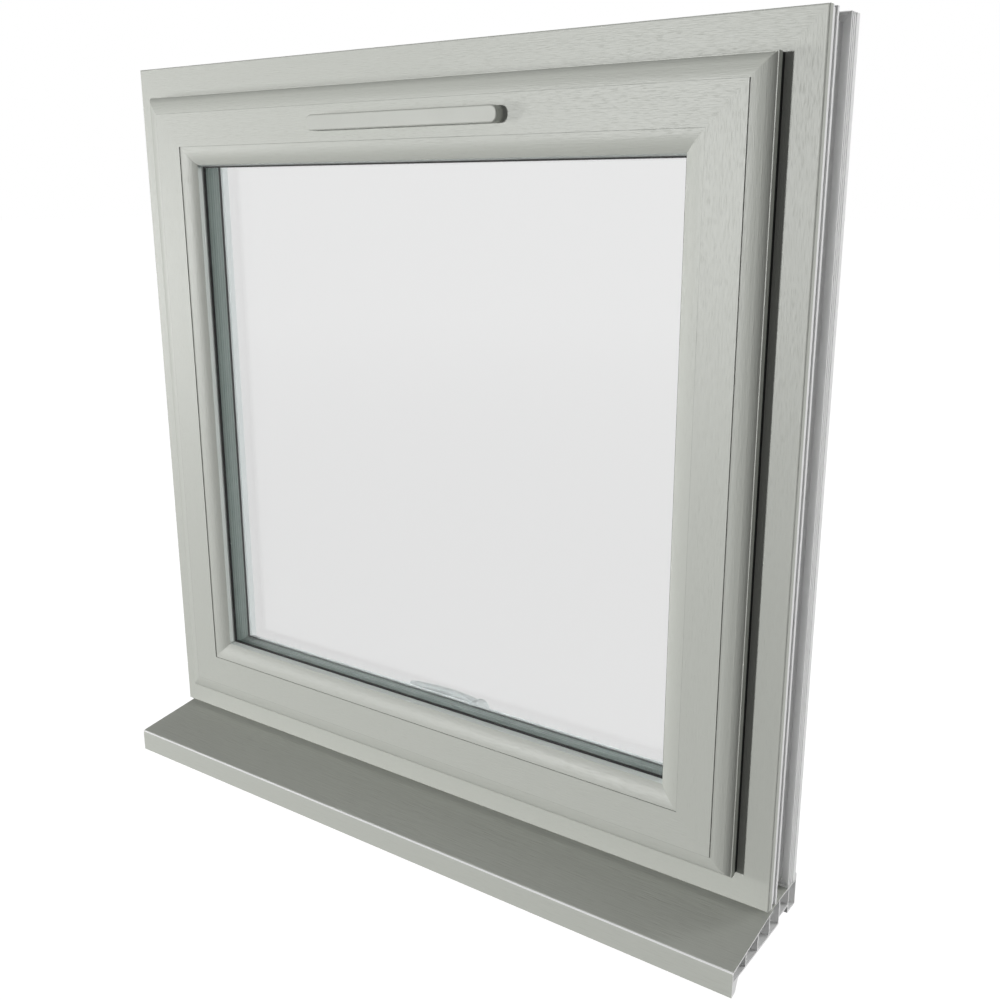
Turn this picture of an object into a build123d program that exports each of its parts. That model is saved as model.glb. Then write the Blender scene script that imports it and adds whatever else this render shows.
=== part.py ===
from build123d import *
import os

# Top-hung casement window in plastic profiles, seen from outside: X runs across,
# Y runs inwards from the outer face of the frame, Z runs up from the bed of the sill.
# Profiles are drawn as (inset from the frame's edge, depth inwards) and mitred at the corners.

# Outer frame
frame_width = 850.0
frame_height = 820.0
frame_depth = 70.0
frame_outer_leg = 46.0
frame_inner_leg = 65.0
rebate_depth = 48.0
frame_arris = 1.5
inner_leg_round = 4.0

# Grooves round the edge of the frame, each placed from the outer face
rib_groove_start = 9.3
rib_groove_width = 7.7
shallow_groove_depth = 1.5
fixing_channel_start = 20.4
fixing_channel_width = 29.6
fixing_channel_depth = 8.0
fixing_lip_thickness = 2.0
fixing_lip_reach = 3.0
back_rib_pitch = 4.2
back_rib_width = 1.8
back_rib_count = 2
back_rib_depth = 1.0
back_groove_width = 3.0
back_groove_depth = 2.5

# Sash, which stands out of the frame and laps over its outer leg
sash_overlap = 12.2
hardware_gap = 12.0
sash_stand_out = 24.4
lip_stand_out = 14.7
lip_thickness = 7.0
lip_flat = 0.9
lip_arris = 0.3
moulding_step = 1.0
outer_moulding_width = 20.0
ovolo_shoulder_run = 13.0
ovolo_shoulder_drop = 2.75
sash_flat_width = 37.3
inner_moulding_width = 20.1
inner_moulding_drop = 7.6
nib_draft = 1.7
nib_side = 6.3
glazing_rebate = 19.9
hardware_groove_width = 16.0
hardware_groove_depth = 4.0
hardware_groove_start = 14.0
inner_seal_gap = 3.5

# Sealed glass unit and what holds it
outer_gasket_thickness = 2.5
inner_gasket_thickness = 2.5
gasket_height = 10.0
outer_gasket_projection = 1.7
bead_set_back = 0.5
pane_thickness = 4.0
spacer_depth = 20.0
spacer_height = 7.0
spacer_sight_line = 1.4
glass_edge_clearance = 5.0
bead_top_width = 1.6
bead_drop = 14.2
bead_round = 1.0

# Seals between sash and frame
lip_seal_set_back = 0.6
lip_seal_width = 6.0
lip_seal_round = 1.2
upstand_seal_width = 5.0
upstand_seal_set_back = 0.8
upstand_seal_round = 1.2

# Hollow projecting sill
sill_height = 30.0
sill_projection = 80.0
sill_wall = 1.8
sill_nose_top = 12.2
sill_nose_drop = 14.7
sill_nose_tip = 7.8
sill_nose_root = 13.4
sill_nose_lift = 1.9
sill_nose_round = 3.5
sill_slope_end = 11.2
sill_slope_rise = 14.0
sill_riser_run = 4.4
sill_bed_end = 30.7
sill_notch_height = 7.8
sill_back_web = 54.0
sill_front_web = -50.2
sill_web_pitch = 27.9
sill_front_web_count = 3
sill_upstand_height = 5.7
sill_upstand_thickness = 2.6
sill_upstand_clearance = 0.5

# Vent: hood outside and closable grille inside, on the top rail
vent_offset = 6.0
vent_hood_length = 245.0
vent_hood_height = 16.0
vent_hood_depth = 12.0
vent_hood_round = 7.0
vent_hood_edge = 1.6
vent_hood_wall = 2.0
vent_slot_width = 3.5
vent_slot_inset = 18.0
vent_inside_height = 24.0
vent_inside_depth = 10.0
vent_inside_round = 5.0
vent_inside_edge = 2.0
vent_flap_length = 205.0
vent_flap_height = 12.0
vent_flap_depth = 4.0
vent_flap_edge = 1.5

# Handle on the middle of the bottom rail, inside
handle_offset = 29.0
handle_base_length = 116.0
handle_base_height = 27.0
handle_base_depth = 9.0
handle_base_round = 12.0
handle_base_edge = 3.0
handle_hub_radius = 11.5
handle_hub_depth = 22.0
handle_hub_edge = 2.0
lever_length = 108.0
lever_height = 18.0
lever_root_thickness = 12.0
lever_tip_thickness = 9.0
lever_root_reach = 15.5
lever_tip_reach = 16.0
lever_bow = 7.0
lever_round = 3.5

# Lines that several profiles share, as insets from the edge of the frame
sash_side = frame_outer_leg + hardware_gap
lip_line = frame_outer_leg - sash_overlap
step_out = lip_line + outer_moulding_width
step_in = step_out + sash_flat_width
moulding_end = step_in + inner_moulding_width
daylight_line = moulding_end + nib_draft
bead_line = daylight_line - bead_set_back
glazing_line = daylight_line - glazing_rebate
glass_line = glazing_line + glass_edge_clearance

# Planes that several profiles share, as depths from the outer face of the frame
lip_back = lip_thickness - lip_stand_out
moulding_top = moulding_step - sash_stand_out
nib_front = moulding_top + inner_moulding_drop
nib_back = nib_front + nib_side
outer_pane_front = nib_back + outer_gasket_thickness
spacer_front = outer_pane_front + pane_thickness
inner_pane_front = spacer_front + spacer_depth
inner_pane_back = inner_pane_front + pane_thickness
bead_front = inner_pane_back + inner_gasket_thickness
sash_back = rebate_depth - inner_seal_gap
handle_base_back = sash_back + handle_base_depth

# Middle lines of the rails' flat faces
outer_flat_middle = (step_out + step_in) / 2
inner_flat_middle = (frame_inner_leg + bead_line - bead_drop) / 2
frame_top = sill_height + frame_height


def outline(points):
    """Flat face inside a closed line of straight runs."""
    return make_face(Polyline(*points, close=True))


def notch(start, width, depth, cover=0):
    """Rectangle that cuts a groove into the edge of the frame, behind a cover of this thickness."""
    return Pos((cover + depth) / 2, start + width / 2) * Rectangle(depth - cover, width)


def rounded(profile, corners, radius):
    """Profile with the named corners rounded."""
    spots = [Vector(*corner) for corner in corners]
    picked = [v for v in profile.vertices() for spot in spots if (v.center() - spot).length < radius / 10]
    return fillet(picked, radius)


def mitred_bar(profile, length):
    """Bar along X, with the inset upwards, cut at 45 degrees at both ends."""
    far_end = Plane(origin=(length / 2, 0, 0), x_dir=(0, 0, 1), z_dir=(-1, 0, 0))
    bar = extrude(far_end * profile, amount=length)
    reach = profile.bounding_box().max.X + frame_depth
    half = length / 2
    mitres = outline([(-half, 0), (half, 0), (half - reach, reach), (reach - half, reach)])
    return bar & extrude(Plane.XZ * mitres, amount=2 * frame_depth, both=True)


def ring(profile):
    """Bars of one profile for the four sides of the window."""
    rail = mitred_bar(profile, frame_width)
    stile = mitred_bar(profile, frame_height)
    middle = sill_height + frame_height / 2
    return {
        "bottom": Pos(0, 0, sill_height) * rail,
        "top": Pos(0, 0, frame_top) * Rot(0, 180, 0) * rail,
        "left": Pos(-frame_width / 2, 0, middle) * Rot(0, 90, 0) * stile,
        "right": Pos(frame_width / 2, 0, middle) * Rot(0, -90, 0) * stile,
    }


def closed_ring(profile):
    """One piece that runs round all four sides."""
    bars = ring(profile)
    return bars["bottom"] + bars["top"] + bars["left"] + bars["right"]


def frame_profile():
    """Two-legged frame section with lipped fixing channel, ribs and grooves in its edge."""
    corners = [
        (0, 0),
        (frame_outer_leg, 0),
        (frame_outer_leg, rebate_depth),
        (frame_inner_leg, rebate_depth),
        (frame_inner_leg, frame_depth),
        (0, frame_depth),
    ]
    profile = outline(corners)
    profile = rounded(profile, [corners[0], corners[1]], frame_arris)
    profile = rounded(profile, [corners[4]], inner_leg_round)
    profile -= notch(rib_groove_start, rib_groove_width, shallow_groove_depth)
    profile -= notch(fixing_channel_start, fixing_channel_width, fixing_channel_depth)
    back_start = fixing_channel_start + fixing_channel_width
    profile -= notch(back_start, fixing_lip_reach, fixing_channel_depth, fixing_lip_thickness)
    for i in range(back_rib_count):
        gap_start = back_start + i * back_rib_pitch + back_rib_width
        profile -= notch(gap_start, back_rib_pitch - back_rib_width, back_rib_depth)
    groove_start = back_start + back_rib_count * back_rib_pitch + back_rib_width
    return profile - notch(groove_start, back_groove_width, back_groove_depth)


def sash_profile():
    """Sculptured sash section: lip, ovolo, flat face, inner moulding and glazing rebate."""
    shoulder = (step_out - ovolo_shoulder_run, moulding_top + ovolo_shoulder_drop)
    flat_end = (lip_line + lip_flat, -lip_stand_out)
    crown = TangentArc((step_out, moulding_top), shoulder, tangent=(-1, 0))
    front = [
        crown,
        TangentArc(shoulder, flat_end, tangent=crown % 1),
        Polyline(
            (step_out, moulding_top),
            (step_out, -sash_stand_out),
            (step_in, -sash_stand_out),
            (step_in, moulding_top),
        ),
        TangentArc((step_in, moulding_top), (moulding_end, nib_front), tangent=(1, 0)),
        Polyline(
            (moulding_end, nib_front),
            (daylight_line, nib_back),
            (glazing_line, nib_back),
            (glazing_line, sash_back),
            (sash_side, sash_back),
            (sash_side, lip_back),
            (lip_line, lip_back),
            (lip_line, -lip_stand_out),
            flat_end,
        ),
    ]
    profile = make_face(Curve() + front)
    profile = rounded(profile, [(lip_line, -lip_stand_out)], lip_arris)
    groove_at = Pos(sash_side + hardware_groove_depth / 2, hardware_groove_start + hardware_groove_width / 2)
    return profile - groove_at * Rectangle(hardware_groove_depth, hardware_groove_width)


def bead_profile():
    """Clip-in glazing bead that slopes from the glass down to the sash."""
    corners = [
        (glazing_line, bead_front),
        (bead_line, bead_front),
        (bead_line, bead_front + bead_top_width),
        (bead_line - bead_drop, sash_back),
        (glazing_line, sash_back),
    ]
    return rounded(outline(corners), corners[2:4], bead_round)


def strip_profile(high_inset, height, start, depth):
    """Plain rectangular strip below one inset and behind one depth."""
    return Pos(high_inset - height / 2, start + depth / 2) * Rectangle(height, depth)


def seal_profile(low_inset, width, start, depth, radius):
    """Bulb seal: a rectangle rounded where it shows at the gap."""
    corners = [(low_inset, start), (low_inset + width, start)]
    corners += [(low_inset + width, start + depth), (low_inset, start + depth)]
    return rounded(outline(corners), [corners[2], corners[3]], radius)


def pane(front):
    """Sheet of glass with its front face at this depth."""
    width = frame_width - 2 * glass_line
    height = frame_height - 2 * glass_line
    middle = sill_height + frame_height / 2
    return Pos(0, front + pane_thickness / 2, middle) * Box(width, pane_thickness, height)


def sill():
    """Extruded sill with sloping top, drip nose, seat, back upstand and open chambers."""
    upstand_face = frame_depth + sill_upstand_clearance
    back = upstand_face + sill_upstand_thickness
    slope_top = sill_nose_top + sill_slope_rise
    seat_start = sill_slope_end + sill_riser_run
    nose = (-sill_projection, sill_nose_top)
    section = outline([
        nose,
        (sill_slope_end, slope_top),
        (seat_start, sill_height),
        (upstand_face, sill_height),
        (upstand_face, sill_height + sill_upstand_height),
        (back, sill_height + sill_upstand_height),
        (back, 0),
        (sill_back_web - sill_wall / 2, 0),
        (sill_back_web - sill_wall / 2, sill_notch_height),
        (sill_bed_end, sill_notch_height),
        (sill_bed_end, 0),
        (sill_nose_root - sill_projection, 0),
        (sill_nose_tip - sill_projection, sill_nose_lift - sill_nose_drop),
        (-sill_projection, -sill_nose_drop),
    ])
    section = rounded(section, [nose], sill_nose_round)
    hollow = outline([
        (sill_wall - sill_projection, sill_nose_top - sill_wall),
        (sill_slope_end, slope_top - sill_wall),
        (seat_start, sill_height - sill_wall),
        (back - sill_wall, sill_height - sill_wall),
        (back - sill_wall, sill_wall),
        (sill_back_web, sill_wall),
        (sill_back_web, sill_notch_height + sill_wall),
        (sill_bed_end - sill_wall, sill_notch_height + sill_wall),
        (sill_bed_end - sill_wall, sill_wall),
        (sill_wall - sill_projection, sill_wall),
    ])
    webs = [sill_front_web + i * sill_web_pitch for i in range(sill_front_web_count)]
    webs += [sill_bed_end - sill_wall / 2, sill_back_web]
    for web in webs:
        hollow -= Pos(web, sill_height / 2) * Rectangle(sill_wall, 2 * sill_height)
    return extrude(Plane.YZ * (section - hollow), amount=frame_width / 2, both=True)


def plate(length, height, corner, start, depth, edge):
    """Round-ended plate standing inwards from one depth, or outwards for a negative depth."""
    shape = extrude(Plane.XZ * RectangleRounded(length, height, corner), amount=-depth)
    rim = shape.faces().sort_by(Axis.Y)[-1 if depth > 0 else 0].edges()
    return Pos(0, start, 0) * fillet(rim, edge)


def vent_hood():
    """Outside hood, open at the back, with an air slot along its underside."""
    hood = plate(vent_hood_length, vent_hood_height, vent_hood_round, 0, -vent_hood_depth, vent_hood_edge)
    room_length = vent_hood_length - 2 * vent_hood_wall
    room_height = vent_hood_height - 2 * vent_hood_wall
    room = RectangleRounded(room_length, room_height, vent_hood_round - vent_hood_wall)
    hood -= extrude(Plane.XZ * room, amount=vent_hood_depth - vent_hood_wall)
    slot = Box(vent_hood_length - 2 * vent_slot_inset, vent_slot_width, vent_hood_wall)
    slot_y = vent_slot_width / 2 + vent_hood_wall - vent_hood_depth
    hood -= Pos(0, slot_y, (vent_hood_wall - vent_hood_height) / 2) * slot
    return Pos(vent_offset, -sash_stand_out, frame_top - outer_flat_middle) * hood


def vent_inside():
    """Inside grille body on the top rail."""
    body = plate(
        vent_hood_length, vent_inside_height, vent_inside_round,
        sash_back, vent_inside_depth, vent_inside_edge,
    )
    return Pos(vent_offset, 0, frame_top - inner_flat_middle) * body


def vent_flap():
    """Tilting flap on the inside grille."""
    flap = plate(
        vent_flap_length, vent_flap_height, vent_flap_height / 3,
        sash_back + vent_inside_depth, vent_flap_depth, vent_flap_edge,
    )
    return Pos(vent_offset, 0, frame_top - inner_flat_middle) * flap


def handle_base():
    """Rose plate of the handle, flat on the bottom rail."""
    base = plate(
        handle_base_length, handle_base_height, handle_base_round,
        sash_back, handle_base_depth, handle_base_edge,
    )
    return Pos(handle_offset, 0, sill_height + inner_flat_middle) * base


def handle_lever():
    """Lever that bows away from the rail and thins on its way from a round hub to its tip."""
    middle_reach = (lever_root_reach + lever_tip_reach) / 2 + lever_bow
    middle_thickness = (lever_root_thickness + lever_tip_thickness) / 2
    root = (0, lever_root_reach, lever_root_thickness / 2)
    middle = (-lever_length / 2, middle_reach, middle_thickness / 2)
    tip = (-lever_length, lever_tip_reach, lever_tip_thickness / 2)
    inner = [(x, reach - half) for x, reach, half in (root, middle, tip)]
    outer = [(x, reach + half) for x, reach, half in (tip, middle, root)]
    arcs = [ThreePointArc(*inner), ThreePointArc(*outer)]
    bow = make_face(Curve() + arcs + [Line(inner[2], outer[0]), Line(outer[2], inner[0])])
    blade = extrude(bow, amount=lever_height / 2, both=True)
    root_edges = blade.faces().sort_by(Axis.X)[-1].edges()
    blade = fillet([edge for edge in blade.edges() if edge not in root_edges], lever_round)
    hub = extrude(Plane.XZ * Circle(handle_hub_radius), amount=-handle_hub_depth)
    hub = chamfer(hub.faces().sort_by(Axis.Y)[-1].edges(), handle_hub_edge)
    return Pos(handle_offset, handle_base_back, sill_height + inner_flat_middle) * (blade + hub)


def window():
    """Every piece of the window by name."""
    sides = {"top": "head", "bottom": "bottom_rail", "left": "left_jamb", "right": "right_jamb"}
    bars = {"top": "top_rail", "bottom": "bottom_rail", "left": "left_stile", "right": "right_stile"}
    frame_bars = ring(frame_profile())
    sash_bars = ring(sash_profile())
    beads = ring(bead_profile())
    pieces = {}
    for side in sides:
        pieces["frame_" + sides[side]] = frame_bars[side]
        pieces["sash_" + bars[side]] = sash_bars[side]
        pieces["bead_" + side] = beads[side]
    gasket_top = daylight_line + outer_gasket_projection
    spacer_top = daylight_line - spacer_sight_line
    seal_low = lip_line + lip_seal_set_back
    upstand_low = frame_inner_leg - upstand_seal_set_back - upstand_seal_width
    pieces["outer_glazing_gasket"] = closed_ring(
        strip_profile(gasket_top, gasket_height, nib_back, outer_gasket_thickness)
    )
    pieces["inner_glazing_gasket"] = closed_ring(
        strip_profile(bead_line, gasket_height, inner_pane_back, inner_gasket_thickness)
    )
    pieces["spacer_bar"] = closed_ring(strip_profile(spacer_top, spacer_height, spacer_front, spacer_depth))
    pieces["sash_lip_seal"] = closed_ring(
        seal_profile(seal_low, lip_seal_width, lip_back, -lip_back, lip_seal_round)
    )
    pieces["frame_upstand_seal"] = closed_ring(
        seal_profile(upstand_low, upstand_seal_width, sash_back, inner_seal_gap, upstand_seal_round)
    )
    pieces["outer_pane"] = pane(outer_pane_front)
    pieces["inner_pane"] = pane(inner_pane_front)
    pieces["sill"] = sill()
    pieces["vent_hood"] = vent_hood()
    pieces["vent_inside"] = vent_inside()
    pieces["vent_flap"] = vent_flap()
    pieces["handle_base"] = handle_base()
    pieces["handle_lever"] = handle_lever()
    return pieces


os.makedirs("parts", exist_ok=True)
for name, piece in window().items():
    export_step(piece, os.path.join("parts", name + ".step"))
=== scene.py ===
import math
from collections import namedtuple

import bmesh
import bpy
from bpy.props import FloatProperty, FloatVectorProperty, PointerProperty
from bpy.types import Operator, Panel, PropertyGroup
from mathutils import Matrix, Vector


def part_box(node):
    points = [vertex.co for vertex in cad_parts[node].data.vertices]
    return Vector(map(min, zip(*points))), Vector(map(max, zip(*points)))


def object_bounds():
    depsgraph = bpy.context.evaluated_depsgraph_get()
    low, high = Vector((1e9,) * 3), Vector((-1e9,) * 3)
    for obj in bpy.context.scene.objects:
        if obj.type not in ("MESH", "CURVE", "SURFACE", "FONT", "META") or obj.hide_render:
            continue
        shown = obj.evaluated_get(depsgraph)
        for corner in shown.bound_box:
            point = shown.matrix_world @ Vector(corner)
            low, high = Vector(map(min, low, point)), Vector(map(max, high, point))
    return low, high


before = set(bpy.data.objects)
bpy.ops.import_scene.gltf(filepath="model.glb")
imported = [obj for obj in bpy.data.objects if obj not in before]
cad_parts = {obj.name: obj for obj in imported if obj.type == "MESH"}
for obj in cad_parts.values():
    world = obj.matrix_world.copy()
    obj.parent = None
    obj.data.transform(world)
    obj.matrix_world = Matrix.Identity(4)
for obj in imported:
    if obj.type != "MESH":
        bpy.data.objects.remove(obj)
cad_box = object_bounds()

bl_info = {
    "name": "Top-hung window",
    "version": (1, 0, 0),
    "blender": (4, 5, 0),
    "location": "3D View > Sidebar > Window",
    "description": "Finishes of a foiled top-hung window and the studio that it stands in",
    "category": "Object",
}

MM = 0.001

# Lines that the finishes follow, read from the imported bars, in metres
RIGHT_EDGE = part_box("frame_right_jamb")[1].x
BOTTOM_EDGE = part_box("frame_bottom_rail")[0].z
FRAME_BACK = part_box("frame_bottom_rail")[1].y
TOP_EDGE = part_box("frame_head")[1].z
LIP_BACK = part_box("sash_lip_seal")[0].y
SILL_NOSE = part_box("sill")[0].y
SPACER_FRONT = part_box("spacer_bar")[0].y
SPACER_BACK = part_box("spacer_bar")[1].y
FLOOR_LEVEL = cad_box[0].z

# Softness of the line where foil ends, and how far the sash's foil runs past the lip's back
FOIL_LINE_SOFTNESS = 0.1 * MM
SASH_FOIL_LAP = 0.2 * MM

# Foil of a piece: how coarse its grain is, its roughness and the strength of its gloss
Foil = namedtuple("Foil", "coarseness roughness gloss")
BAR_FOIL = Foil(1.0, 0.46, 0.55)
SILL_FOIL = Foil(2.0, 0.60, 0.40)

# Grain of the foil, with scales and reaches counted in streaks
DRIFT_SCALE = 0.11
DRIFT_REACH = 0.2
FINE_DETAIL = 1.5
PORE_SCALE = 1.35
PORE_SHIFT = (31.0, 17.0, 5.0)
PORE_EDGE = (0.54, 0.68)
PORE_DEPTH = 0.2
PORE_ROUGHNESS = 0.12
PATCH_SCALE = 0.07
PATCH_EDGE = (0.35, 0.62)
PATCH_LEAST = 0.6
BROAD_SCALE = 0.3
BROAD_DEPTH = 0.25

# Skin of a plain surface: scales of its clouds and ripple, the ripple's depth in metres,
# and its roughness outside and inside the clouds
Skin = namedtuple("Skin", "cloud_scale ripple_scale ripple_depth clear_roughness cloudy_roughness")
WHITE_SKIN = Skin(9.0, 420.0, 0.01 * MM, 0.29, 0.32)
HOOD_SKIN = Skin(30.0, 1500.0, 0.03 * MM, 0.44, 0.50)
RUBBER_SKIN = Skin(60.0, 900.0, 0.04 * MM, 0.55, 0.70)
COAT_SKIN = Skin(25.0, 1100.0, 0.03 * MM, 0.30, 0.38)
SPACER_SKIN = Skin(40.0, 800.0, 0.0, 0.40, 0.52)
CLOUD_DETAIL = 3.0
CLOUD_EDGE = (0.3, 0.7)
PLAIN_GLOSS = 0.5
RUBBER_GLOSS = 0.3
HOOD_MOTTLE = 0.25

# Spacer bar, with places across it from zero at the outer pane to one at the inner pane
SPACER_RIDGES = 6
SPACER_RIDGE_DEPTH = 0.12 * MM
SEALANT_EDGE = (0.47, 0.495)
# Painted shade on the spacer: the span across it where the shade fades out, and its strength at the outer
# pane
SPACER_SHADE_EDGE = (0.05, 0.6)
SPACER_SHADE = 0.3

GLASS_IOR = 1.5

# Parts of the surround, by the sideways and inward share of a direction
BESIDE_EDGE = (-0.2, 0.6)
BEHIND_EDGE = (0.3, 0.5)

# Floor: half its width in metres, its mottling, and its glow behind the glass from near to far, which is
# dimmer near the window as painted shade
FLOOR_REACH = 30.0
FLOOR_MOTTLE_SCALE = 3.0
FLOOR_MOTTLE = 0.97
FLOOR_ROUGHNESS = 0.9
FLOOR_NEAR_FAR = (0.5, 6.0)
FLOOR_SHADED_GLOW_NEAR_FAR = (0.951, 1.0)

NUMBER = "NodeSocketFloat"
VECTOR = "NodeSocketVector"


def colour_property(name, description, default):
    """Colour that a user may change, in linear values."""
    return FloatVectorProperty(
        name=name, description=description, subtype="COLOR", size=3, min=0, max=1, default=default
    )


def length_property(name, description, default):
    """Length that a user may change, in metres."""
    return FloatProperty(
        name=name, description=description, unit="LENGTH", precision=5, min=0, default=default
    )


def angle_property(name, description, degrees):
    """Angle that a user may change, given in degrees."""
    return FloatProperty(name=name, description=description, subtype="ANGLE", default=math.radians(degrees))


def place_property(name, description, default):
    """Place in the shared frame, in metres."""
    return FloatVectorProperty(name=name, description=description, subtype="TRANSLATION", default=default)


def share_property(name, description, default):
    """Share between none and all."""
    return FloatProperty(name=name, description=description, subtype="FACTOR", min=0, max=1, default=default)


def level_property(name, description, default):
    """Level of light, where one shows as white."""
    return FloatProperty(name=name, description=description, min=0, soft_max=2, default=default)


def watts_property(name, description, default):
    """Power of a lamp."""
    return FloatProperty(name=name, description=description, subtype="POWER", min=0, default=default)


class CasementFinish(PropertyGroup):
    """Colours and surface sizes of the window."""

    foil: colour_property("Foil", "Grey-green woodgrain foil outside", (0.505, 0.520, 0.478))
    foil_pore: colour_property("Foil pores", "Foil down in the pores of the grain", (0.486, 0.500, 0.459))
    # Painted shade: the crease colour is a dark line standing in for the shadow in the mouldings' small
    # steps.
    foil_crease_shade: colour_property("Foil creases", "Foil in the mouldings' creases", (0.300, 0.311, 0.282))
    # Painted light: the nib gets a paler foil tone standing in for light from behind reaching it through the
    # glass.
    lit_nib: colour_property("Nib", "Bare pale profile past the foil, beside the glass", (0.700, 0.745, 0.715))
    white: colour_property("White plastic", "Bare profile inside and on the edges", (0.900, 0.902, 0.898))
    white_shade: colour_property("White clouds", "Faint mottling of the bare profile", (0.885, 0.888, 0.886))
    rubber: colour_property("Rubber", "Black gaskets and seals", (0.012, 0.012, 0.012))
    rubber_bloom: colour_property("Rubber bloom", "Pale bloom on the black gaskets", (0.028, 0.028, 0.028))
    pale_rubber: colour_property("Pale rubber", "Grey gasket between glass and beads", (0.600, 0.620, 0.610))
    pale_rubber_bloom: colour_property("Pale rubber bloom", "Bloom on that gasket", (0.660, 0.675, 0.670))
    spacer: colour_property("Spacer", "Body of the spacer bar", (0.158, 0.196, 0.180))
    spacer_seal: colour_property("Spacer seal", "Sealant beside the panes", (0.075, 0.082, 0.078))
    glass: colour_property("Glass", "Tint of one pane", (0.945, 0.973, 0.973))
    glass_edge: colour_property("Glass edge", "Tint near the cut edge of a pane", (0.870, 0.950, 0.930))
    coat: colour_property("Handle coat", "White powder coat of the handle", (0.780, 0.785, 0.780))
    grain_width: length_property("Grain width", "Width of one streak of the grain", 1.1 * MM)
    grain_length: length_property("Grain length", "Length of one streak of the grain", 13.0 * MM)
    emboss: length_property("Emboss", "Depth of the grain pressed into the foil", 0.21 * MM)
    foil_turn_in: length_property("Foil turn-in", "How far the foil laps onto the frame's edge", 6.9 * MM)
    foil_thickness: length_property("Foil thickness", "Foil that shows at the sill's cut ends", 0.3 * MM)
    outer_crease: length_property("Outer crease", "From the frame's edge to the ovolo's crease", 53.8 * MM)
    inner_crease: length_property("Inner crease", "From the frame's edge to the inner crease", 91.1 * MM)
    crease_width: length_property("Crease width", "Width of both creases", 0.9 * MM)
    nib_line: length_property("Nib line", "From the frame's edge to the foil's end at the glass", 111.2 * MM)
    weld_width: length_property("Weld width", "Width of the cleaned weld at the mitres inside", 1.6 * MM)
    weld_depth: length_property("Weld depth", "Depth of the cleaned weld", 0.25 * MM)
    glass_edge_reach: length_property("Glass edge reach", "How far the edge's tint reaches in", 16 * MM)
    sill_nose_top: length_property("Sill nose top", "Height of the sill's top at its nose", 12.2 * MM)
    sill_slope: angle_property("Sill slope", "Fall of the sill's top towards the nose", 8.73)


class CasementStudio(PropertyGroup):
    """Camera and lamps round the window."""

    camera_place: place_property("Camera place", "Where the camera stands", (0.7696, -0.9308, 0.7063))
    camera_azimuth: angle_property("Azimuth", "Turn of the camera to the right", 35.49)
    camera_elevation: angle_property("Elevation", "Angle that the camera looks down by", 15.15)
    camera_roll: angle_property("Roll", "Tilt of the camera about its own axis", -0.13)
    lens: FloatProperty(name="Lens", description="Focal length in millimetres", min=1, default=40.79)
    sensor: FloatProperty(name="Sensor", description="Width in millimetres", min=1, default=36.0)
    key_place: place_property("Key place", "Level and left of the camera", (-3.00, -7.42, 0.81))
    key_size: length_property("Key size", "Width of the main lamp", 0.6)
    key_power: watts_property("Key", "Main lamp", 436)
    fill_place: place_property("Fill place", "Far to the left", (-3.51, -1.87, 0.40))
    fill_size: length_property("Fill size", "Width of the soft lamp on the left", 0.8)
    fill_power: watts_property("Fill", "Soft lamp on the left", 42)
    rim_place: place_property("Rim place", "On the right, behind the window's face", (3.05, 2.56, 0.77))
    rim_size: length_property("Rim size", "Width of the soft lamp on the right", 1.2)
    rim_power: watts_property("Rim", "Soft lamp on the right", 115)
    front_light: level_property("Front light", "Even light from the front of the room", 0.085)
    side_light: level_property("Side light", "Even light from the front on the right", 0.26)
    back_light: level_property("Back light", "Even light from behind the window", 0.55)
    front_mirror: level_property("Front mirror image", "What gloss mirrors of the front of the room", 0.1)
    back_mirror: level_property("Back mirror image", "What gloss mirrors from behind the window", 0.3)
    glass_balance: colour_property("Glass balance", "Backdrop seen through glass", (0.934, 0.883, 0.883))
    floor: share_property("Floor", "Reflectance of the pale floor", 0.25)
    floor_glow: share_property("Floor glow", "Light that the floor shows to the camera by itself", 0.96)


class Wiring:
    """Short way to place nodes in one tree and join them."""

    def __init__(self, tree):
        self.tree = tree

    def join(self, node, inputs):
        """Values or links on a node's inputs."""
        for key, value in inputs.items():
            if isinstance(value, bpy.types.NodeSocket):
                self.tree.links.new(value, node.inputs[key])
            else:
                node.inputs[key].default_value = value

    def add(self, kind, inputs=None, **settings):
        """One node, with its settings and with values or links on its inputs."""
        node = self.tree.nodes.new(kind)
        for name, value in settings.items():
            setattr(node, name, value)
        self.join(node, inputs or {})
        return node

    def group(self, tree, inputs):
        """Outputs of one use of a node group."""
        return self.add("ShaderNodeGroup", inputs, node_tree=tree).outputs

    def maths(self, operation, first, second=0.0, third=0.0):
        """Result of one sum on numbers."""
        return self.add("ShaderNodeMath", {0: first, 1: second, 2: third}, operation=operation).outputs[0]

    def vector(self, operation, first, second=(0, 0, 0)):
        """Result of one sum on two vectors."""
        return self.add("ShaderNodeVectorMath", {0: first, 1: second}, operation=operation).outputs[0]

    def axes(self, vector):
        """The three numbers of a vector."""
        return self.add("ShaderNodeSeparateXYZ", {0: vector}).outputs

    def blend(self, share, first, second):
        """Colour between two colours."""
        return self.add("ShaderNodeMix", {0: share, 6: first, 7: second}, data_type="RGBA").outputs[2]

    def lerp(self, share, first, second):
        """Number between two numbers."""
        return self.add("ShaderNodeMix", {0: share, 2: first, 3: second}, data_type="FLOAT").outputs[0]

    def ramp(self, value, edge, results=(0.0, 1.0), shape="SMOOTHSTEP"):
        """Step of a value from one result to another between the two ends of an edge."""
        inputs = {0: value, 1: edge[0], 2: edge[1], 3: results[0], 4: results[1]}
        return self.add("ShaderNodeMapRange", inputs, interpolation_type=shape).outputs[0]

    def noise(self, vector, scale, detail=2.0):
        """Noise over a vector, as a number about one half."""
        inputs = {"Vector": vector, "Scale": scale, "Detail": detail}
        return self.add("ShaderNodeTexNoise", inputs).outputs[0]

    def bump(self, height):
        """Normal of a surface with a height in metres."""
        return self.add("ShaderNodeBump", {"Strength": 1.0, "Distance": 1.0, "Height": height}).outputs[0]


def rgba(colour):
    """Colour property with full alpha."""
    return (colour[0], colour[1], colour[2], 1.0)


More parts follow.
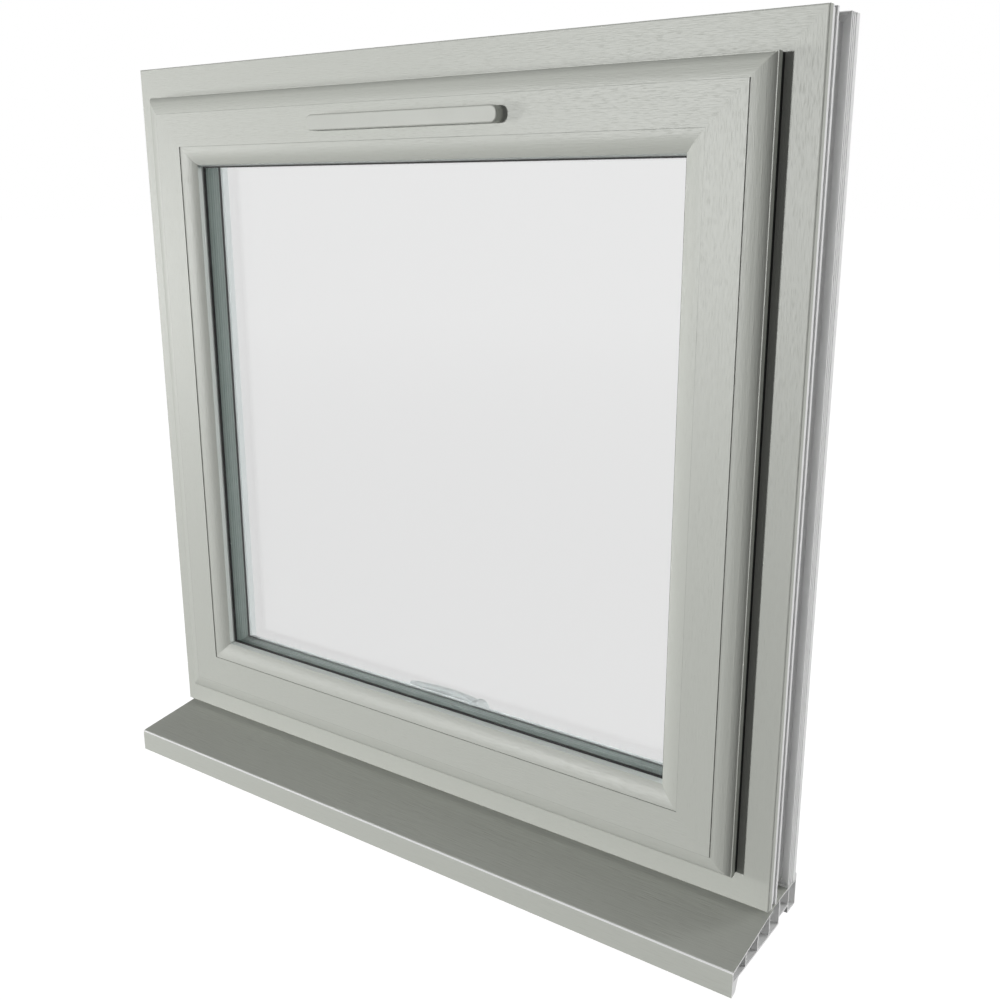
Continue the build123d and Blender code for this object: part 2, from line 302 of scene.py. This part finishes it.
def new_group(name, inputs, outputs):
    """Shader node group: its wiring, what it is given and the node that takes its results."""
    tree = bpy.data.node_groups.new(name, "ShaderNodeTree")
    for label, kind in inputs.items():
        tree.interface.new_socket(name=label, in_out="INPUT", socket_type=kind)
    for label, kind in outputs.items():
        tree.interface.new_socket(name=label, in_out="OUTPUT", socket_type=kind)
    wiring = Wiring(tree)
    return wiring, wiring.add("NodeGroupInput").outputs, wiring.add("NodeGroupOutput")


def from_edges(wiring, vector):
    """Distances of a point from the nearer side of the frame and from its nearer end, top or bottom."""
    place = wiring.axes(vector)
    from_side = wiring.maths("SUBTRACT", RIGHT_EDGE, wiring.maths("ABSOLUTE", place["X"]))
    middle = (TOP_EDGE + BOTTOM_EDGE) / 2
    from_middle = wiring.maths("ABSOLUTE", wiring.maths("SUBTRACT", place["Z"], middle))
    return from_side, wiring.maths("SUBTRACT", TOP_EDGE - middle, from_middle)


def grain_group():
    """Embossed woodgrain: fine streaks, drifting a little sideways, with pores between them."""
    name = "Embossed Grain"
    if name in bpy.data.node_groups:
        return bpy.data.node_groups[name]
    wiring, given, result = new_group(
        name, {"Vector": VECTOR, "Streaks": VECTOR}, {"Pores": NUMBER, "Height": NUMBER}
    )
    streaks = wiring.vector("MULTIPLY", given["Vector"], given["Streaks"])
    drift = wiring.add("ShaderNodeTexNoise", {"Vector": streaks, "Scale": DRIFT_SCALE, "Detail": 1.0})
    drift = wiring.vector("SUBTRACT", drift.outputs["Color"], (0.5, 0.5, 0.5))
    drift = wiring.vector("MULTIPLY", drift, (DRIFT_REACH, DRIFT_REACH, DRIFT_REACH))
    streaks = wiring.vector("ADD", streaks, drift)
    fine = wiring.noise(streaks, 1.0, FINE_DETAIL)
    slits = wiring.noise(wiring.vector("ADD", streaks, PORE_SHIFT), PORE_SCALE, 1.0)
    broad = wiring.noise(streaks, BROAD_SCALE, 1.0)
    patches = wiring.ramp(wiring.noise(streaks, PATCH_SCALE, 1.0), PATCH_EDGE, (PATCH_LEAST, 1.0))
    pores = wiring.maths("MULTIPLY", wiring.ramp(slits, PORE_EDGE), patches)
    height = wiring.maths("SUBTRACT", fine, wiring.maths("MULTIPLY", pores, PORE_DEPTH))
    height = wiring.maths("ADD", height, wiring.maths("MULTIPLY", broad, BROAD_DEPTH))
    wiring.join(result, {"Pores": pores, "Height": height})
    return wiring.tree


def skin_group():
    """Moulded plastic skin: faint clouds of tone and a very fine ripple."""
    name = "Plastic Skin"
    if name in bpy.data.node_groups:
        return bpy.data.node_groups[name]
    wiring, given, result = new_group(
        name,
        {"Vector": VECTOR, "Cloud Scale": NUMBER, "Ripple Scale": NUMBER},
        {"Clouds": NUMBER, "Ripple": NUMBER},
    )
    clouds = wiring.noise(given["Vector"], given["Cloud Scale"], CLOUD_DETAIL)
    ripple = wiring.noise(given["Vector"], given["Ripple Scale"])
    wiring.join(result, {"Clouds": wiring.ramp(clouds, CLOUD_EDGE), "Ripple": ripple})
    return wiring.tree


def crease_group():
    """Masks of two fine creases, for painted shade, and of the nib, for painted light, at set distances from
    the edge of the frame.
    """
    name = "Moulding Crease"
    if name in bpy.data.node_groups:
        return bpy.data.node_groups[name]
    wiring, given, result = new_group(
        name,
        {"Vector": VECTOR, "Outer": NUMBER, "Inner": NUMBER, "Width": NUMBER, "Nib Line": NUMBER},
        {"Crease": NUMBER, "Nib": NUMBER},
    )
    inset = wiring.maths("MINIMUM", *from_edges(wiring, given["Vector"]))
    off_outer = wiring.maths("ABSOLUTE", wiring.maths("SUBTRACT", inset, given["Outer"]))
    off_inner = wiring.maths("ABSOLUTE", wiring.maths("SUBTRACT", inset, given["Inner"]))
    nearest = wiring.maths("MINIMUM", off_outer, off_inner)
    half_width = wiring.maths("MULTIPLY", given["Width"], 0.5)
    crease = wiring.ramp(nearest, (half_width, 0.0), shape="LINEAR")
    # Mask of the nib, where light is painted.
    lit_nib = wiring.maths("GREATER_THAN", inset, given["Nib Line"])
    wiring.join(result, {"Crease": crease, "Nib": lit_nib})
    return wiring.tree


def weld_group():
    """Mask of the welds, where a point lies as far from the side as from the top or bottom."""
    name = "Mitre Weld"
    if name in bpy.data.node_groups:
        return bpy.data.node_groups[name]
    wiring, given, result = new_group(name, {"Vector": VECTOR, "Width": NUMBER}, {"Weld": NUMBER})
    from_side, from_end = from_edges(wiring, given["Vector"])
    off_mitre = wiring.maths("ABSOLUTE", wiring.maths("SUBTRACT", from_side, from_end))
    half_width = wiring.maths("MULTIPLY", given["Width"], math.sqrt(0.5))
    wiring.join(result, {"Weld": wiring.ramp(off_mitre, (half_width, 0.0), shape="LINEAR")})
    return wiring.tree


def new_material(name):
    """Empty material with a Principled shader, its wiring and the piece's own coordinates."""
    material = bpy.data.materials.new(name)
    material.use_nodes = True
    material.node_tree.nodes.clear()
    wiring = Wiring(material.node_tree)
    shader = wiring.add("ShaderNodeBsdfPrincipled")
    wiring.add("ShaderNodeOutputMaterial", {"Surface": shader.outputs[0]})
    coordinates = wiring.add("ShaderNodeTexCoord").outputs["Object"]
    return material, wiring, shader, coordinates


def skin_texture(wiring, coordinates, skin):
    """Clouds and ripple of one skin."""
    scales = {"Cloud Scale": skin.cloud_scale, "Ripple Scale": skin.ripple_scale}
    return wiring.group(skin_group(), {"Vector": coordinates, **scales})


def weld_groove(wiring, coordinates):
    """Depth of the cleaned welds at the mitres."""
    finish = bpy.context.scene.casement_finish
    weld = wiring.group(weld_group(), {"Vector": coordinates, "Width": finish.weld_width})["Weld"]
    return wiring.maths("MULTIPLY", weld, finish.weld_depth)


def with_mouldings(wiring, coordinates, foil):
    """Foil colour with painted shade along the creases of the sash's mouldings and a paler nib beside the
    glass as painted light.
    """
    finish = bpy.context.scene.casement_finish
    lines = {"Outer": finish.outer_crease, "Inner": finish.inner_crease}
    sizes = {"Width": finish.crease_width, "Nib Line": finish.nib_line}
    masks = wiring.group(crease_group(), {"Vector": coordinates, **lines, **sizes})
    # Painted shade: the foil is darkened along the two creases.
    foil = wiring.blend(masks["Crease"], foil, rgba(finish.foil_crease_shade))
    # Painted light: the nib beside the glass is made paler.
    return wiring.blend(masks["Nib"], foil, rgba(finish.lit_nib))


def foil_over_white(name, upright, outside, kind=BAR_FOIL, welded=True, mouldings=False):
    """Foil with grain where the outside mask says so, and bare white plastic elsewhere."""
    finish = bpy.context.scene.casement_finish
    material, wiring, shader, coordinates = new_material(name)
    across = 1 / (finish.grain_width * kind.coarseness)
    along = 1 / (finish.grain_length * kind.coarseness)
    streaks = (across, across, along) if upright else (along, across, across)
    grain = wiring.group(grain_group(), {"Vector": coordinates, "Streaks": streaks})
    skin = skin_texture(wiring, coordinates, WHITE_SKIN)
    foiled = outside(wiring, coordinates)
    foil = wiring.blend(grain["Pores"], rgba(finish.foil), rgba(finish.foil_pore))
    if mouldings:
        foil = with_mouldings(wiring, coordinates, foil)
    white = wiring.blend(skin["Clouds"], rgba(finish.white), rgba(finish.white_shade))
    foil_height = wiring.maths("MULTIPLY", grain["Height"], finish.emboss)
    white_height = wiring.maths("MULTIPLY", skin["Ripple"], WHITE_SKIN.ripple_depth)
    if welded:
        white_height = wiring.maths("SUBTRACT", white_height, weld_groove(wiring, coordinates))
    foil_roughness = wiring.maths("MULTIPLY_ADD", grain["Pores"], PORE_ROUGHNESS, kind.roughness)
    white_roughness = wiring.lerp(skin["Clouds"], WHITE_SKIN.clear_roughness, WHITE_SKIN.cloudy_roughness)
    looks = {
        "Base Color": wiring.blend(foiled, white, foil),
        "Roughness": wiring.lerp(foiled, white_roughness, foil_roughness),
        "Normal": wiring.bump(wiring.lerp(foiled, white_height, foil_height)),
        "Specular IOR Level": kind.gloss,
    }
    wiring.join(shader, looks)
    return material


def in_front_of(depth):
    """Mask of what lies in front of one depth."""

    def mask(wiring, coordinates):
        edge = (depth - FOIL_LINE_SOFTNESS, depth + FOIL_LINE_SOFTNESS)
        return wiring.ramp(wiring.axes(coordinates)["Y"], edge, (1.0, 0.0))

    return mask


def skin_of_sill(wiring, coordinates):
    """Mask of the sill's sloping top, seat and nose, as deep as the foil is thick."""
    finish = bpy.context.scene.casement_finish
    place = wiring.axes(coordinates)
    run = wiring.maths("SUBTRACT", place["Y"], SILL_NOSE)
    slope_height = wiring.maths("MULTIPLY_ADD", run, math.tan(finish.sill_slope), finish.sill_nose_top)
    under_top = wiring.maths("SUBTRACT", wiring.maths("MINIMUM", slope_height, BOTTOM_EDGE), place["Z"])
    under_top = wiring.maths("MAXIMUM", under_top, wiring.maths("SUBTRACT", place["Y"], FRAME_BACK))
    nearest = wiring.maths("MINIMUM", under_top, run)
    edge = (finish.foil_thickness, finish.foil_thickness + FOIL_LINE_SOFTNESS)
    return wiring.ramp(nearest, edge, (1.0, 0.0))


def skinned_surface(name, skin, clear, cloudy, gloss=PLAIN_GLOSS, welded=False):
    """Surface of one skin, between its clear and its cloudy colour, with welds where it is mitred."""
    material, wiring, shader, coordinates = new_material(name)
    texture = skin_texture(wiring, coordinates, skin)
    height = wiring.maths("MULTIPLY", texture["Ripple"], skin.ripple_depth)
    if welded:
        height = wiring.maths("SUBTRACT", height, weld_groove(wiring, coordinates))
    looks = {
        "Base Color": wiring.blend(texture["Clouds"], rgba(clear), rgba(cloudy)),
        "Roughness": wiring.lerp(texture["Clouds"], skin.clear_roughness, skin.cloudy_roughness),
        "Normal": wiring.bump(height),
        "Specular IOR Level": gloss,
    }
    wiring.join(shader, looks)
    return material


def white_plastic(name, welded):
    """Bare white plastic with a faint mottling."""
    finish = bpy.context.scene.casement_finish
    return skinned_surface(name, WHITE_SKIN, finish.white, finish.white_shade, welded=welded)


def hood_plastic(name):
    """Moulded plastic in the colour of the foil, with a fine even texture."""
    finish = bpy.context.scene.casement_finish
    mottled = Vector(finish.foil[:]).lerp(Vector(finish.foil_pore[:]), HOOD_MOTTLE)
    return skinned_surface(name, HOOD_SKIN, finish.foil, mottled, BAR_FOIL.gloss)


def gasket_rubber(name, rubber, bloom):
    """Matt rubber with a faint bloom."""
    return skinned_surface(name, RUBBER_SKIN, rubber, bloom, RUBBER_GLOSS)


def powder_coat(name):
    """White powder coat with a fine orange-peel texture."""
    finish = bpy.context.scene.casement_finish
    return skinned_surface(name, COAT_SKIN, finish.coat, finish.white_shade)


def spacer_bar(name):
    """Spacer with dark sealant along both panes, painted shade darkening its body towards the outer pane,
    and fine ridges along its length.
    """
    finish = bpy.context.scene.casement_finish
    material, wiring, shader, coordinates = new_material(name)
    depth = wiring.axes(coordinates)["Y"]
    across = wiring.ramp(depth, (SPACER_FRONT, SPACER_BACK), shape="LINEAR")
    from_middle = wiring.maths("ABSOLUTE", wiring.maths("SUBTRACT", across, 0.5))
    sealed = wiring.ramp(from_middle, SEALANT_EDGE)
    # Painted shade: the body darkens towards the outer pane.
    shaded = wiring.ramp(across, SPACER_SHADE_EDGE, (SPACER_SHADE, 0.0))
    body = wiring.blend(shaded, rgba(finish.spacer), rgba(finish.spacer_seal))
    ridges = wiring.maths("SINE", wiring.maths("MULTIPLY", across, 2 * math.pi * SPACER_RIDGES))
    clouds = skin_texture(wiring, coordinates, SPACER_SKIN)["Clouds"]
    looks = {
        "Base Color": wiring.blend(sealed, body, rgba(finish.spacer_seal)),
        "Roughness": wiring.lerp(clouds, SPACER_SKIN.clear_roughness, SPACER_SKIN.cloudy_roughness),
        "Normal": wiring.bump(wiring.maths("MULTIPLY", ridges, SPACER_RIDGE_DEPTH)),
    }
    wiring.join(shader, looks)
    return material


def window_glass(name):
    """Clear float glass, greener towards its cut edge."""
    finish = bpy.context.scene.casement_finish
    material, wiring, shader, coordinates = new_material(name)
    low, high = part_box("outer_pane")
    place = wiring.axes(coordinates)
    from_side = wiring.maths("SUBTRACT", high.x, wiring.maths("ABSOLUTE", place["X"]))
    above = wiring.maths("SUBTRACT", place["Z"], low.z)
    below = wiring.maths("SUBTRACT", high.z, place["Z"])
    inset = wiring.maths("MINIMUM", from_side, wiring.maths("MINIMUM", above, below))
    edge = wiring.ramp(inset, (0.0, finish.glass_edge_reach), (1.0, 0.0))
    looks = {
        "Base Color": wiring.blend(edge, rgba(finish.glass), rgba(finish.glass_edge)),
        "Roughness": 0.0,
        "IOR": GLASS_IOR,
        "Transmission Weight": 1.0,
    }
    wiring.join(shader, looks)
    return material


def dress(material, *names):
    """Puts one material on CAD nodes."""
    for name in names:
        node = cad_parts[name]
        node.data.materials.clear()
        node.data.materials.append(material)


class CASEMENT_OT_frame(Operator):
    """Foils the outside of the frame bars and leaves their edges and inside white"""

    bl_idname = "casement.frame"
    bl_label = "Finish frame bars"

    def execute(self, context):
        outside = in_front_of(context.scene.casement_finish.foil_turn_in)
        dress(foil_over_white("Frame rail foil", False, outside), "frame_head", "frame_bottom_rail")
        dress(foil_over_white("Frame jamb foil", True, outside), "frame_left_jamb", "frame_right_jamb")
        return {"FINISHED"}


class CASEMENT_OT_sash(Operator):
    """Foils the sculptured outside of the sash bars and leaves their inside white"""

    bl_idname = "casement.sash"
    bl_label = "Finish sash bars"

    def execute(self, context):
        outside = in_front_of(LIP_BACK + SASH_FOIL_LAP)
        rail = foil_over_white("Sash rail foil", False, outside, mouldings=True)
        stile = foil_over_white("Sash stile foil", True, outside, mouldings=True)
        dress(rail, "sash_top_rail", "sash_bottom_rail")
        dress(stile, "sash_left_stile", "sash_right_stile")
        return {"FINISHED"}


class CASEMENT_OT_glazing(Operator):
    """Finishes the glass unit, its spacer and the white beads that hold it"""

    bl_idname = "casement.glazing"
    bl_label = "Finish glazing"

    def execute(self, context):
        dress(window_glass("Float glass"), "outer_pane", "inner_pane")
        dress(spacer_bar("Spacer"), "spacer_bar")
        dress(white_plastic("White bead", True), "bead_top", "bead_bottom", "bead_left", "bead_right")
        for name in ("outer_pane", "inner_pane"):
            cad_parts[name].visible_shadow = False
        return {"FINISHED"}


class CASEMENT_OT_gaskets(Operator):
    """Finishes the black gaskets and seals and the grey gasket of the beads"""

    bl_idname = "casement.gaskets"
    bl_label = "Finish gaskets"

    def execute(self, context):
        finish = context.scene.casement_finish
        black = gasket_rubber("Black rubber", finish.rubber, finish.rubber_bloom)
        grey = gasket_rubber("Grey rubber", finish.pale_rubber, finish.pale_rubber_bloom)
        dress(black, "outer_glazing_gasket", "sash_lip_seal", "frame_upstand_seal")
        dress(grey, "inner_glazing_gasket")
        return {"FINISHED"}


class CASEMENT_OT_sill(Operator):
    """Foils the sill's top and nose and leaves its chambers and underside white"""

    bl_idname = "casement.sill"
    bl_label = "Finish sill"

    def execute(self, context):
        dress(foil_over_white("Sill foil", False, skin_of_sill, SILL_FOIL, welded=False), "sill")
        return {"FINISHED"}


class CASEMENT_OT_vent(Operator):
    """Finishes the vent hood outside and its body and flap inside"""

    bl_idname = "casement.vent"
    bl_label = "Finish vent"

    def execute(self, context):
        dress(hood_plastic("Vent hood"), "vent_hood")
        dress(white_plastic("Vent grille", False), "vent_inside", "vent_flap")
        return {"FINISHED"}


class CASEMENT_OT_handle(Operator):
    """Finishes the inside handle"""

    bl_idname = "casement.handle"
    bl_label = "Finish handle"

    def execute(self, context):
        dress(powder_coat("Handle coat"), "handle_base", "handle_lever")
        return {"FINISHED"}


def lamp(name, place, target, size, power):
    """Round soft lamp that points at a target."""
    data = bpy.data.lights.new(name, "AREA")
    data.shape = "DISK"
    data.size = size
    data.energy = power
    item = bpy.data.objects.new(name, data)
    item.location = place
    item.rotation_euler = (Vector(target) - Vector(place)).to_track_quat("-Z", "Y").to_euler()
    item.visible_camera = False
    item.visible_transmission = False
    bpy.context.scene.collection.objects.link(item)
    return item


def backdrop_colour(wiring, studio):
    """White, or the white that looks neutral through the glass's tint."""
    through_glass = wiring.add("ShaderNodeLightPath").outputs["Is Transmission Ray"]
    return wiring.blend(through_glass, (1, 1, 1, 1), rgba(studio.glass_balance))


def studio_world(studio):
    """White to the eye, while its light and its mirror image differ from front to back."""
    world = bpy.data.worlds.new("Studio")
    world.use_nodes = True
    world.node_tree.nodes.clear()
    wiring = Wiring(world.node_tree)
    rays = wiring.add("ShaderNodeLightPath").outputs
    direction = wiring.axes(wiring.add("ShaderNodeTexCoord").outputs["Generated"])
    behind = wiring.ramp(direction["Y"], BEHIND_EDGE)
    beside = wiring.ramp(direction["X"], BESIDE_EDGE)
    front = wiring.lerp(beside, studio.front_light, studio.side_light)
    light = wiring.lerp(behind, front, studio.back_light)
    image = wiring.lerp(behind, studio.front_mirror, studio.back_mirror)
    strength = wiring.lerp(rays["Is Glossy Ray"], light, image)
    seen = wiring.maths("MAXIMUM", rays["Is Camera Ray"], rays["Is Transmission Ray"])
    strength = wiring.lerp(seen, strength, 1.0)
    colour = backdrop_colour(wiring, studio)
    background = wiring.add("ShaderNodeBackground", {"Color": colour, "Strength": strength})
    wiring.add("ShaderNodeOutputWorld", {"Surface": background.outputs[0]})
    bpy.context.scene.world = world


def studio_floor(studio):
    """Pale floor that keeps a faint shadow and runs out into the white background."""
    mesh = bpy.data.meshes.new("Studio floor")
    shape = bmesh.new()
    bmesh.ops.create_grid(shape, x_segments=1, y_segments=1, size=FLOOR_REACH)
    bmesh.ops.translate(shape, verts=shape.verts, vec=(0, 0, FLOOR_LEVEL))
    shape.to_mesh(mesh)
    shape.free()
    floor = bpy.data.objects.new("Studio_floor", mesh)
    bpy.context.scene.collection.objects.link(floor)
    material, wiring, shader, coordinates = new_material("Studio floor")
    rays = wiring.add("ShaderNodeLightPath").outputs
    mottle = wiring.noise(coordinates, FLOOR_MOTTLE_SCALE)
    shade = wiring.ramp(mottle, CLOUD_EDGE, (studio.floor, studio.floor * FLOOR_MOTTLE))
    distance = wiring.add("ShaderNodeVectorMath", {0: coordinates}, operation="LENGTH").outputs["Value"]
    glow = wiring.maths("MULTIPLY", rays["Is Camera Ray"], studio.floor_glow)
    # Painted shade: behind the glass the floor glows less near the window, standing in for the window's
    # shade on it.
    shaded_glow_through_glass = wiring.ramp(distance, FLOOR_NEAR_FAR, FLOOR_SHADED_GLOW_NEAR_FAR)
    looks = {
        "Base Color": wiring.lerp(rays["Is Transmission Ray"], shade, 0.0),
        "Roughness": FLOOR_ROUGHNESS,
        "Specular IOR Level": 0.0,
        "Emission Color": backdrop_colour(wiring, studio),
        "Emission Strength": wiring.lerp(rays["Is Transmission Ray"], glow, shaded_glow_through_glass),
    }
    wiring.join(shader, looks)
    mesh.materials.append(material)
    floor.visible_glossy = False


def studio_camera(studio):
    """Camera with the photograph's place, turn and lens."""
    data = bpy.data.cameras.new("Camera")
    data.sensor_width = studio.sensor
    data.lens = studio.lens
    camera = bpy.data.objects.new("Camera", data)
    turn, tilt, roll = studio.camera_azimuth, studio.camera_elevation, studio.camera_roll
    back = Vector((math.sin(turn) * math.cos(tilt), -math.cos(turn) * math.cos(tilt), math.sin(tilt)))
    right = Vector((math.cos(turn), math.sin(turn), 0))
    up = back.cross(right)
    side = math.cos(roll) * right + math.sin(roll) * up
    top = math.cos(roll) * up - math.sin(roll) * right
    axes = Matrix((side, top, back)).transposed().to_4x4()
    camera.matrix_world = Matrix.Translation(studio.camera_place) @ axes
    bpy.context.scene.collection.objects.link(camera)
    bpy.context.scene.camera = camera


class CASEMENT_OT_stage(Operator):
    """Sets the pale floor, the white surround, the lamps and the camera"""

    bl_idname = "casement.stage"
    bl_label = "Set stage"

    def execute(self, context):
        studio = context.scene.casement_studio
        middle = (cad_box[0] + cad_box[1]) / 2
        studio_world(studio)
        studio_floor(studio)
        lamp("Key lamp", studio.key_place, middle, studio.key_size, studio.key_power)
        lamp("Fill lamp", studio.fill_place, middle, studio.fill_size, studio.fill_power)
        rim = lamp("Rim lamp", studio.rim_place, middle, studio.rim_size, studio.rim_power)
        rim.visible_glossy = False
        studio_camera(studio)
        context.scene.view_settings.view_transform = "Standard"
        return {"FINISHED"}


class CASEMENT_PT_panel(Panel):
    """Lists the window's finishes and the stage"""

    bl_idname = "CASEMENT_PT_panel"
    bl_label = "Top-hung window"
    bl_space_type = "VIEW_3D"
    bl_region_type = "UI"
    bl_category = "Window"

    def draw(self, context):
        for operator in OPERATORS:
            self.layout.operator(operator.bl_idname)
        for group in (context.scene.casement_finish, context.scene.casement_studio):
            box = self.layout.box()
            for name in group.__annotations__:
                box.prop(group, name)


OPERATORS = (
    CASEMENT_OT_frame,
    CASEMENT_OT_sash,
    CASEMENT_OT_glazing,
    CASEMENT_OT_gaskets,
    CASEMENT_OT_sill,
    CASEMENT_OT_vent,
    CASEMENT_OT_handle,
    CASEMENT_OT_stage,
)
CLASSES = (CasementFinish, CasementStudio) + OPERATORS + (CASEMENT_PT_panel,)


def register():
    for item in CLASSES:
        bpy.utils.register_class(item)
    bpy.types.Scene.casement_finish = PointerProperty(type=CasementFinish)
    bpy.types.Scene.casement_studio = PointerProperty(type=CasementStudio)


def unregister():
    del bpy.types.Scene.casement_studio
    del bpy.types.Scene.casement_finish
    for item in reversed(CLASSES):
        bpy.utils.unregister_class(item)


def main():
    register()
    bpy.ops.casement.frame()
    bpy.ops.casement.sash()
    bpy.ops.casement.glazing()
    bpy.ops.casement.gaskets()
    bpy.ops.casement.sill()
    bpy.ops.casement.vent()
    bpy.ops.casement.handle()
    bpy.ops.casement.stage()


if __name__ == "__main__":
    main()
